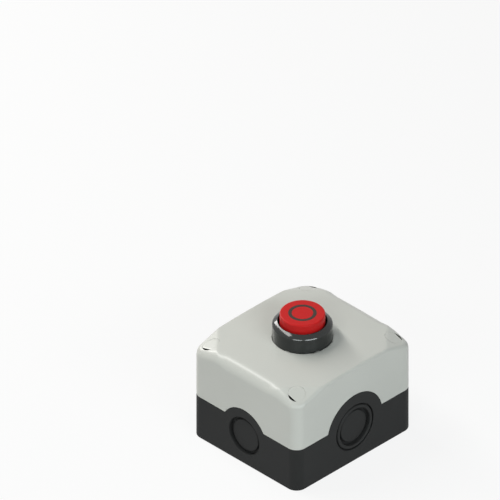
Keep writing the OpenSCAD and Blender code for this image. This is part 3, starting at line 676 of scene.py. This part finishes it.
# Bezel: the black front ring of the operator, a glossy moulding snapped over the barrel's flange.
# Its shoulder falls away in three soft steps, each given as how far in it lies, how high above the
# seat, and its rounding. Four small notches are cut in its foot.
bezel_top = seat_z + 10 * mm
outer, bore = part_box("bezel")[1].x, 12 * mm
flange_bore, flange_t = 13.65 * mm, 1.95 * mm
shoulder = ((0, 8 * mm, 0.2 * mm), (0.34 * mm, 8.5 * mm, 0.3 * mm), (1.15 * mm, 9.18 * mm, 0.4 * mm))
shoulder_corners = [(outer - inwards, seat_z + height, rounding) for inwards, height, rounding in shoulder]
notch_half, notch_high, notch_angles = 1.1 * mm, 0.7 * mm, (105, 165, 285, 345)
profile = softened([(flange_bore, seat_z, 0.1 * mm), (outer, seat_z, 0.15 * mm), *shoulder_corners,
                    (bore + 0.2 * mm, bezel_top, 0.15 * mm), (bore, bezel_top - 0.2 * mm, 0.15 * mm),
                    (bore, seat_z + flange_t, 0), (flange_bore, seat_z + flange_t, 0)])
bezel = turned(profile, "bezel_ring", segments=160)
notches = []
for angle in notch_angles:
    tool = brick("bezel_notch", (outer - notch_half, -notch_half, seat_z - 1 * mm),
                 (outer + notch_half, notch_half, seat_z + notch_high))
    tool.data.transform(Matrix.Rotation(math.radians(angle), 4, "Z"))
    notches.append(tool)
combine(bezel, "DIFFERENCE", *notches)
black_bezel = moulded("black_bezel_plastic", (0.025, 0.027, 0.026), 0.09, specular=0.32)
finish_piece(bezel, black_bezel)
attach(bezel, "station")
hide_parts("bezel")

# Button cap: the red extended cap, one moulding with a hollow underside. It is pushed onto the
# stem, and a shallow groove in its face takes the ring symbol.
cap_low, cap_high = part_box("button_cap")
cap_r, cap_bore, cap_skin = cap_high.x, 9.25 * mm, 1.8 * mm
ring_out, ring_in, ring_deep = 6.95 * mm, 5.2 * mm, 0.6 * mm
profile = softened([(cap_bore, cap_low.z, 0.1 * mm), (cap_r, cap_low.z, 0.2 * mm),
                    (cap_r, cap_high.z, 0.7 * mm), (ring_out, cap_high.z, 0.06 * mm),
                    (ring_out, cap_high.z - ring_deep, 0), (ring_in, cap_high.z - ring_deep, 0),
                    (ring_in, cap_high.z, 0.06 * mm), (0, cap_high.z, 0),
                    (0, cap_high.z - cap_skin, 0), (cap_bore, cap_high.z - cap_skin, 0.3 * mm)],
                   steps=4)
cap = turned(profile, "red_cap", segments=160)
red = moulded("red_cap_plastic", (0.56, 0.013, 0.013), 0.4, specular=0.15)
finish_piece(cap, red)
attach(cap, "button")
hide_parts("button_cap")

# Ring symbol: the plain OFF circle, a dark brown ring of a second plastic. It fills the groove in
# the cap's face up to a hair below it.
symbol_gap, symbol_drop, symbol_edge_r = 0.01 * mm, 0.03 * mm, 0.08 * mm
symbol_out, symbol_in = ring_out - symbol_gap, ring_in + symbol_gap
symbol_top, symbol_foot = cap_high.z - symbol_drop, cap_high.z - ring_deep
profile = softened([(symbol_out, symbol_foot, 0), (symbol_out, symbol_top, symbol_edge_r),
                    (symbol_in, symbol_top, symbol_edge_r), (symbol_in, symbol_foot, 0)])
symbol = turned(profile, "off_ring")
finish_piece(symbol, moulded("dark_symbol_plastic", (0.050, 0.036, 0.030), 0.5, specular=0.15))
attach(symbol, "button")
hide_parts("off_symbol")

# Seals: black rubber cord along the parting line, a flat ring under the barrel's flange and a lip
# ring round the stem. Matt, with a fine skin.
rubber = moulded("seal_rubber", (0.02, 0.02, 0.021), 0.75, grain=2500, depth=0.006 * mm,
                 tone_change=0.06)


def dress(material, *names):
    """Gives CAD nodes that keep their shape their own material."""
    for name in names:
        nodes[name].data.materials.clear()
        nodes[name].data.materials.append(material)


dress(rubber, "cover_gasket", "panel_gasket", "stem_seal")

# Operator inside the box: the black threaded barrel with its key, the grey ring nut that clamps it
# from behind, and the adapter behind the nut. Glass-filled nylon, with a slightly uneven skin.
dress(moulded("barrel_nylon", (0.03, 0.031, 0.032), 0.42, tone_change=0.05), "barrel")
grey_nylon = moulded("grey_nylon", (0.23, 0.24, 0.245), 0.45, grain=2600, depth=0.006 * mm,
                     tone_change=0.06)
dress(grey_nylon, "ring_nut", "adapter")

# Stem: the pale acetal plunger under the cap. It slides in the barrel, so it is smooth, and its
# lower end pushes the plungers of both contact blocks.
dress(moulded("stem_acetal", (0.62, 0.61, 0.57), 0.28, depth=0.002 * mm), "button_stem")


# Screws: zinc-plated steel, four long ones under the plugs, the adapter's locking screw and the
# terminal screws with their clamp plates. The plastic's grain lends the plating its unevenness.
def plated(name, colour, roughness, grain=5000, depth=0.002 * mm, tone_change=0.05):
    """A metal with a finely uneven plated, rolled or drawn surface."""
    material = moulded(name, colour, roughness, grain, depth, tone_change)
    material.node_tree.nodes["Principled BSDF"].inputs["Metallic"].default_value = 1
    return material


zinc = plated("bright_zinc", (0.66, 0.68, 0.70), 0.3, tone_change=0.08)
dress(zinc, "cover_screws", "adapter_screw", "terminal_screws", "clamp_plates")

# Contact blocks: pale grey cases with lids, a red plunger in the break block and a green one in
# the make block.
case = moulded("pale_case_plastic", (0.50, 0.51, 0.50), 0.5, grain=2600, depth=0.006 * mm,
               tone_change=0.04)
dress(case, "nc_housing", "nc_lid", "no_housing", "no_lid")
dress(moulded("break_red_plastic", (0.55, 0.03, 0.025), 0.38), "nc_plunger")
dress(moulded("make_green_plastic", (0.03, 0.26, 0.09), 0.38), "no_plunger")

# Bridges and fixed contacts: strips cut from rolled copper alloy, with riveted tips. The bridges
# sit in the windows of the plungers, and the fixed ones lead to the terminals.
copper = plated("contact_copper", (0.80, 0.46, 0.30), 0.34, tone_change=0.10)
dress(copper, "nc_bridge", "no_bridge", "nc_fixed_contacts", "no_fixed_contacts")

# Springs: drawn steel wire, wound with one flat turn at each end. The three return springs stand with
# the station, and the two contact springs move with their carriers.
wire_steel = plated("spring_steel", (0.50, 0.51, 0.53), 0.28, grain=7000)
wire_sides, turn_steps = 12, 36


def coil(name, radius, wire, low, high, turns, x=0):
    """A spring of round wire that stands between two heights."""
    bm = bmesh.new()
    place = Matrix.Translation((radius, 0, low + wire)) @ Matrix.Rotation(math.pi / 2, 4, "X")
    last = bmesh.ops.create_circle(bm, cap_ends=False, segments=wire_sides, radius=wire,
                                   matrix=place)["verts"]
    last += bm.edges[:]
    flat_rise = 2.04 * wire
    open_rise = high - low - 2 * wire - 2 * flat_rise
    for count, rise in ((1, flat_rise), (turns, open_rise), (1, flat_rise)):
        steps = count * turn_steps
        made = bmesh.ops.spin(bm, geom=last, cent=(0, 0, 0), axis=(0, 0, 1), dvec=(0, 0, rise / steps),
                              angle=count * math.tau, steps=steps, use_merge=False, use_duplicate=False)
        last = [g for g in made["geom_last"] if not isinstance(g, bmesh.types.BMFace)]
    bmesh.ops.holes_fill(bm, edges=[e for e in bm.edges if e.is_boundary], sides=0)
    bmesh.ops.recalc_face_normals(bm, faces=bm.faces)
    bmesh.ops.translate(bm, verts=bm.verts, vec=(x, 0, 0))
    spring = finish_piece(solid(bm, name), wire_steel, sharp=60)
    return spring


return_low, return_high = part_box("return_spring")
return_wire, carrier_wire = 0.4 * mm, 0.25 * mm
carrier_coil_r, contact_coil_r = 2 * mm, 1.5 * mm
spring = coil("return_coil", return_high.x - return_wire, return_wire, return_low.z, return_high.z,
              turns=3)
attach(spring, "station")
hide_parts("return_spring")
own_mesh(spring)
for kind, joint, carrier in (("nc", "break_travel", "break_carrier"),
                             ("no", "make_travel", "make_carrier")):
    plunger_low, plunger_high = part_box(kind + "_plunger")
    axis_x = plunger_low.lerp(plunger_high, 0.5).x
    low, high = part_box(kind + "_return_spring")
    spring = coil(kind + "_carrier_coil", carrier_coil_r, carrier_wire, low.z, high.z, turns=4, x=axis_x)
    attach(spring, "station")
    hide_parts(kind + "_return_spring")
    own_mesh(spring)
    low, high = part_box(kind + "_contact_spring")
    spring = coil(kind + "_contact_coil", contact_coil_r, carrier_wire, low.z, high.z, turns=3, x=axis_x)
    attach(spring, carrier)
    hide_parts(kind + "_contact_spring")
